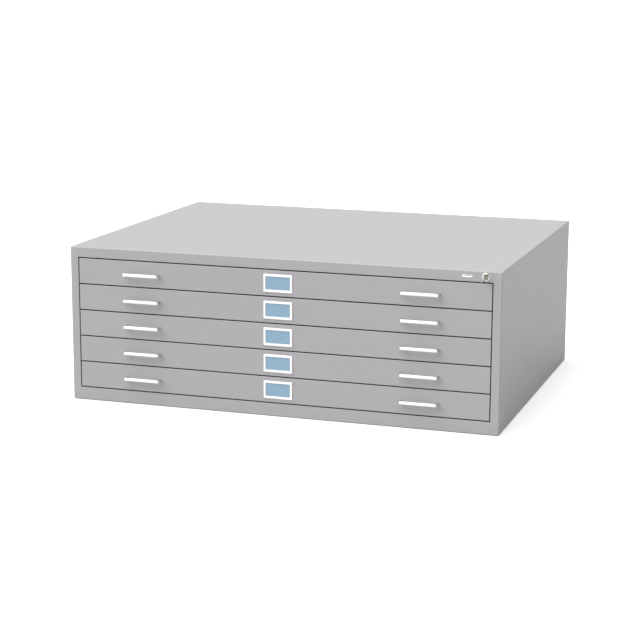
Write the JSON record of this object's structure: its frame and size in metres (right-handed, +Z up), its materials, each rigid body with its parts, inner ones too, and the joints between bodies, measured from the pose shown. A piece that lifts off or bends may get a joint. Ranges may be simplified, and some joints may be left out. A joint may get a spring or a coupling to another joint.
{
  "type": "flat file cabinet",
  "caption": "Low steel flat file cabinet: shallow full-width drawers on rollers, bar pulls, label holders and one keyed lock.",
  "frame": {"origin": "centre of the case's underside, where it rests on the floor or on another case", "axes": "+X to the right as seen from the front, +Y from the drawer fronts towards the back, +Z up"},
  "size_m": [1.178, 0.9264, 0.4191],
  "materials": {
    "painted_steel": "light grey baked enamel, satin",
    "plated_steel": "bright zinc plate",
    "chrome": "polished chrome",
    "roller_steel": "turned steel",
    "card": "matt blue card under a clear sleeve",
    "key_nickel": "nickel plate, worn"
  },
  "bodies": {
    "case": {"top_panel": "painted_steel", "bottom_panel": "painted_steel", "back_panel": "painted_steel", "side_panel_right": "painted_steel", "side_panel_left": "painted_steel", "track_rack_right": "plated_steel", "track_rack_left": "plated_steel", "blank_badge": "chrome", "lock_housing": "chrome", "lock_nut": "plated_steel"},
    "drawer_1": {"drawer_1_front": "painted_steel", "drawer_1_tray": "painted_steel", "drawer_1_handle_left": "chrome", "drawer_1_handle_right": "chrome", "drawer_1_label_frame": "chrome", "drawer_1_label_card": "card"},
    "depressor_1": {"drawer_1_depressor": "painted_steel"},
    "roller_1_left": {"drawer_1_roller_left": "roller_steel"},
    "roller_1_right": {"drawer_1_roller_right": "roller_steel"},
    "drawer_2": {"drawer_2_front": "painted_steel", "drawer_2_tray": "painted_steel", "drawer_2_handle_left": "chrome", "drawer_2_handle_right": "chrome", "drawer_2_label_frame": "chrome", "drawer_2_label_card": "card"},
    "depressor_2": {"drawer_2_depressor": "painted_steel"},
    "roller_2_left": {"drawer_2_roller_left": "roller_steel"},
    "roller_2_right": {"drawer_2_roller_right": "roller_steel"},
    "drawer_3": {"drawer_3_front": "painted_steel", "drawer_3_tray": "painted_steel", "drawer_3_handle_left": "chrome", "drawer_3_handle_right": "chrome", "drawer_3_label_frame": "chrome", "drawer_3_label_card": "card"},
    "depressor_3": {"drawer_3_depressor": "painted_steel"},
    "roller_3_left": {"drawer_3_roller_left": "roller_steel"},
    "roller_3_right": {"drawer_3_roller_right": "roller_steel"},
    "drawer_4": {"drawer_4_front": "painted_steel", "drawer_4_tray": "painted_steel", "drawer_4_handle_left": "chrome", "drawer_4_handle_right": "chrome", "drawer_4_label_frame": "chrome", "drawer_4_label_card": "card"},
    "depressor_4": {"drawer_4_depressor": "painted_steel"},
    "roller_4_left": {"drawer_4_roller_left": "roller_steel"},
    "roller_4_right": {"drawer_4_roller_right": "roller_steel"},
    "drawer_5": {"drawer_5_front": "painted_steel", "drawer_5_tray": "painted_steel", "drawer_5_handle_left": "chrome", "drawer_5_handle_right": "chrome", "drawer_5_label_frame": "chrome", "drawer_5_label_card": "card"},
    "depressor_5": {"drawer_5_depressor": "painted_steel"},
    "roller_5_left": {"drawer_5_roller_left": "roller_steel"},
    "roller_5_right": {"drawer_5_roller_right": "roller_steel"},
    "lock_plug": {"lock_plug": "key_nickel", "lock_cam": "plated_steel", "key_in_lock": "key_nickel"},
    "lock_bar": {"lock_bar": "plated_steel"},
    "key_ring": {"key_ring": "key_nickel"}
  },
  "joints": [
    {"name": "drawer_1_slide", "type": "slide", "parent": "case", "child": "drawer_1", "axis": [0, -1, 0], "range_m": [0, 0.64]},
    {"name": "sheet_depressor_1_hinge", "type": "hinge", "parent": "drawer_1", "child": "depressor_1", "pos_m": [0, -0.41626, 0.37008], "axis": [1, 0, 0], "range_deg": [0, 45]},
    {"name": "roller_1_left_spin", "type": "hinge", "parent": "drawer_1", "child": "roller_1_left", "pos_m": [-0.5605, 0.36044, 0.34688], "axis": [1, 0, 0], "range_deg": [-10, 3000]},
    {"name": "roller_1_right_spin", "type": "hinge", "parent": "drawer_1", "child": "roller_1_right", "pos_m": [0.5605, 0.36044, 0.34688], "axis": [1, 0, 0], "range_deg": [-10, 3000]},
    {"name": "drawer_2_slide", "type": "slide", "parent": "case", "child": "drawer_2", "axis": [0, -1, 0], "range_m": [0, 0.64]},
    {"name": "sheet_depressor_2_hinge", "type": "hinge", "parent": "drawer_2", "child": "depressor_2", "pos_m": [0, -0.41626, 0.29926], "axis": [1, 0, 0], "range_deg": [0, 45]},
    {"name": "roller_2_left_spin", "type": "hinge", "parent": "drawer_2", "child": "roller_2_left", "pos_m": [-0.5605, 0.36044, 0.27606], "axis": [1, 0, 0], "range_deg": [-10, 3000]},
    {"name": "roller_2_right_spin", "type": "hinge", "parent": "drawer_2", "child": "roller_2_right", "pos_m": [0.5605, 0.36044, 0.27606], "axis": [1, 0, 0], "range_deg": [-10, 3000]},
    {"name": "drawer_3_slide", "type": "slide", "parent": "case", "child": "drawer_3", "axis": [0, -1, 0], "range_m": [0, 0.64]},
    {"name": "sheet_depressor_3_hinge", "type": "hinge", "parent": "drawer_3", "child": "depressor_3", "pos_m": [0, -0.41626, 0.22844], "axis": [1, 0, 0], "range_deg": [0, 45]},
    {"name": "roller_3_left_spin", "type": "hinge", "parent": "drawer_3", "child": "roller_3_left", "pos_m": [-0.5605, 0.36044, 0.20524], "axis": [1, 0, 0], "range_deg": [-10, 3000]},
    {"name": "roller_3_right_spin", "type": "hinge", "parent": "drawer_3", "child": "roller_3_right", "pos_m": [0.5605, 0.36044, 0.20524], "axis": [1, 0, 0], "range_deg": [-10, 3000]},
    {"name": "drawer_4_slide", "type": "slide", "parent": "case", "child": "drawer_4", "axis": [0, -1, 0], "range_m": [0, 0.64]},
    {"name": "sheet_depressor_4_hinge", "type": "hinge", "parent": "drawer_4", "child": "depressor_4", "pos_m": [0, -0.41626, 0.15762], "axis": [1, 0, 0], "range_deg": [0, 45]},
    {"name": "roller_4_left_spin", "type": "hinge", "parent": "drawer_4", "child": "roller_4_left", "pos_m": [-0.5605, 0.36044, 0.13442], "axis": [1, 0, 0], "range_deg": [-10, 3000]},
    {"name": "roller_4_right_spin", "type": "hinge", "parent": "drawer_4", "child": "roller_4_right", "pos_m": [0.5605, 0.36044, 0.13442], "axis": [1, 0, 0], "range_deg": [-10, 3000]},
    {"name": "drawer_5_slide", "type": "slide", "parent": "case", "child": "drawer_5", "axis": [0, -1, 0], "range_m": [0, 0.64]},
    {"name": "sheet_depressor_5_hinge", "type": "hinge", "parent": "drawer_5", "child": "depressor_5", "pos_m": [0, -0.41626, 0.0868], "axis": [1, 0, 0], "range_deg": [0, 45]},
    {"name": "roller_5_left_spin", "type": "hinge", "parent": "drawer_5", "child": "roller_5_left", "pos_m": [-0.5605, 0.36044, 0.0636], "axis": [1, 0, 0], "range_deg": [-10, 3000]},
    {"name": "roller_5_right_spin", "type": "hinge", "parent": "drawer_5", "child": "roller_5_right", "pos_m": [0.5605, 0.36044, 0.0636], "axis": [1, 0, 0], "range_deg": [-10, 3000]},
    {"name": "lock_turn", "type": "hinge", "parent": "case", "child": "lock_plug", "pos_m": [0.547, -0.45206, 0.405], "axis": [0, 1, 0], "range_deg": [0, 90]},
    {"name": "lock_bar_drop", "type": "slide", "parent": "case", "child": "lock_bar", "axis": [0, 0, -1], "range_m": [-0.0005, 0.01252]},
    {"name": "key_ring_swing", "type": "hinge", "parent": "lock_plug", "child": "key_ring", "pos_m": [0.547, -0.47056, 0.405], "axis": [0, 1, 0], "range_deg": [-35, 35]}
  ],
  "couplings": [
    {"joint": "roller_1_left_spin", "follows": "drawer_1_slide", "rad_per_m": 81.301},
    {"joint": "roller_1_right_spin", "follows": "drawer_1_slide", "rad_per_m": 81.301},
    {"joint": "roller_2_left_spin", "follows": "drawer_2_slide", "rad_per_m": 81.301},
    {"joint": "roller_2_right_spin", "follows": "drawer_2_slide", "rad_per_m": 81.301},
    {"joint": "roller_3_left_spin", "follows": "drawer_3_slide", "rad_per_m": 81.301},
    {"joint": "roller_3_right_spin", "follows": "drawer_3_slide", "rad_per_m": 81.301},
    {"joint": "roller_4_left_spin", "follows": "drawer_4_slide", "rad_per_m": 81.301},
    {"joint": "roller_4_right_spin", "follows": "drawer_4_slide", "rad_per_m": 81.301},
    {"joint": "roller_5_left_spin", "follows": "drawer_5_slide", "rad_per_m": 81.301},
    {"joint": "roller_5_right_spin", "follows": "drawer_5_slide", "rad_per_m": 81.301},
    {"joint": "lock_bar_drop", "follows": "lock_turn", "m_per_rad": 0.0076527}
  ]
}
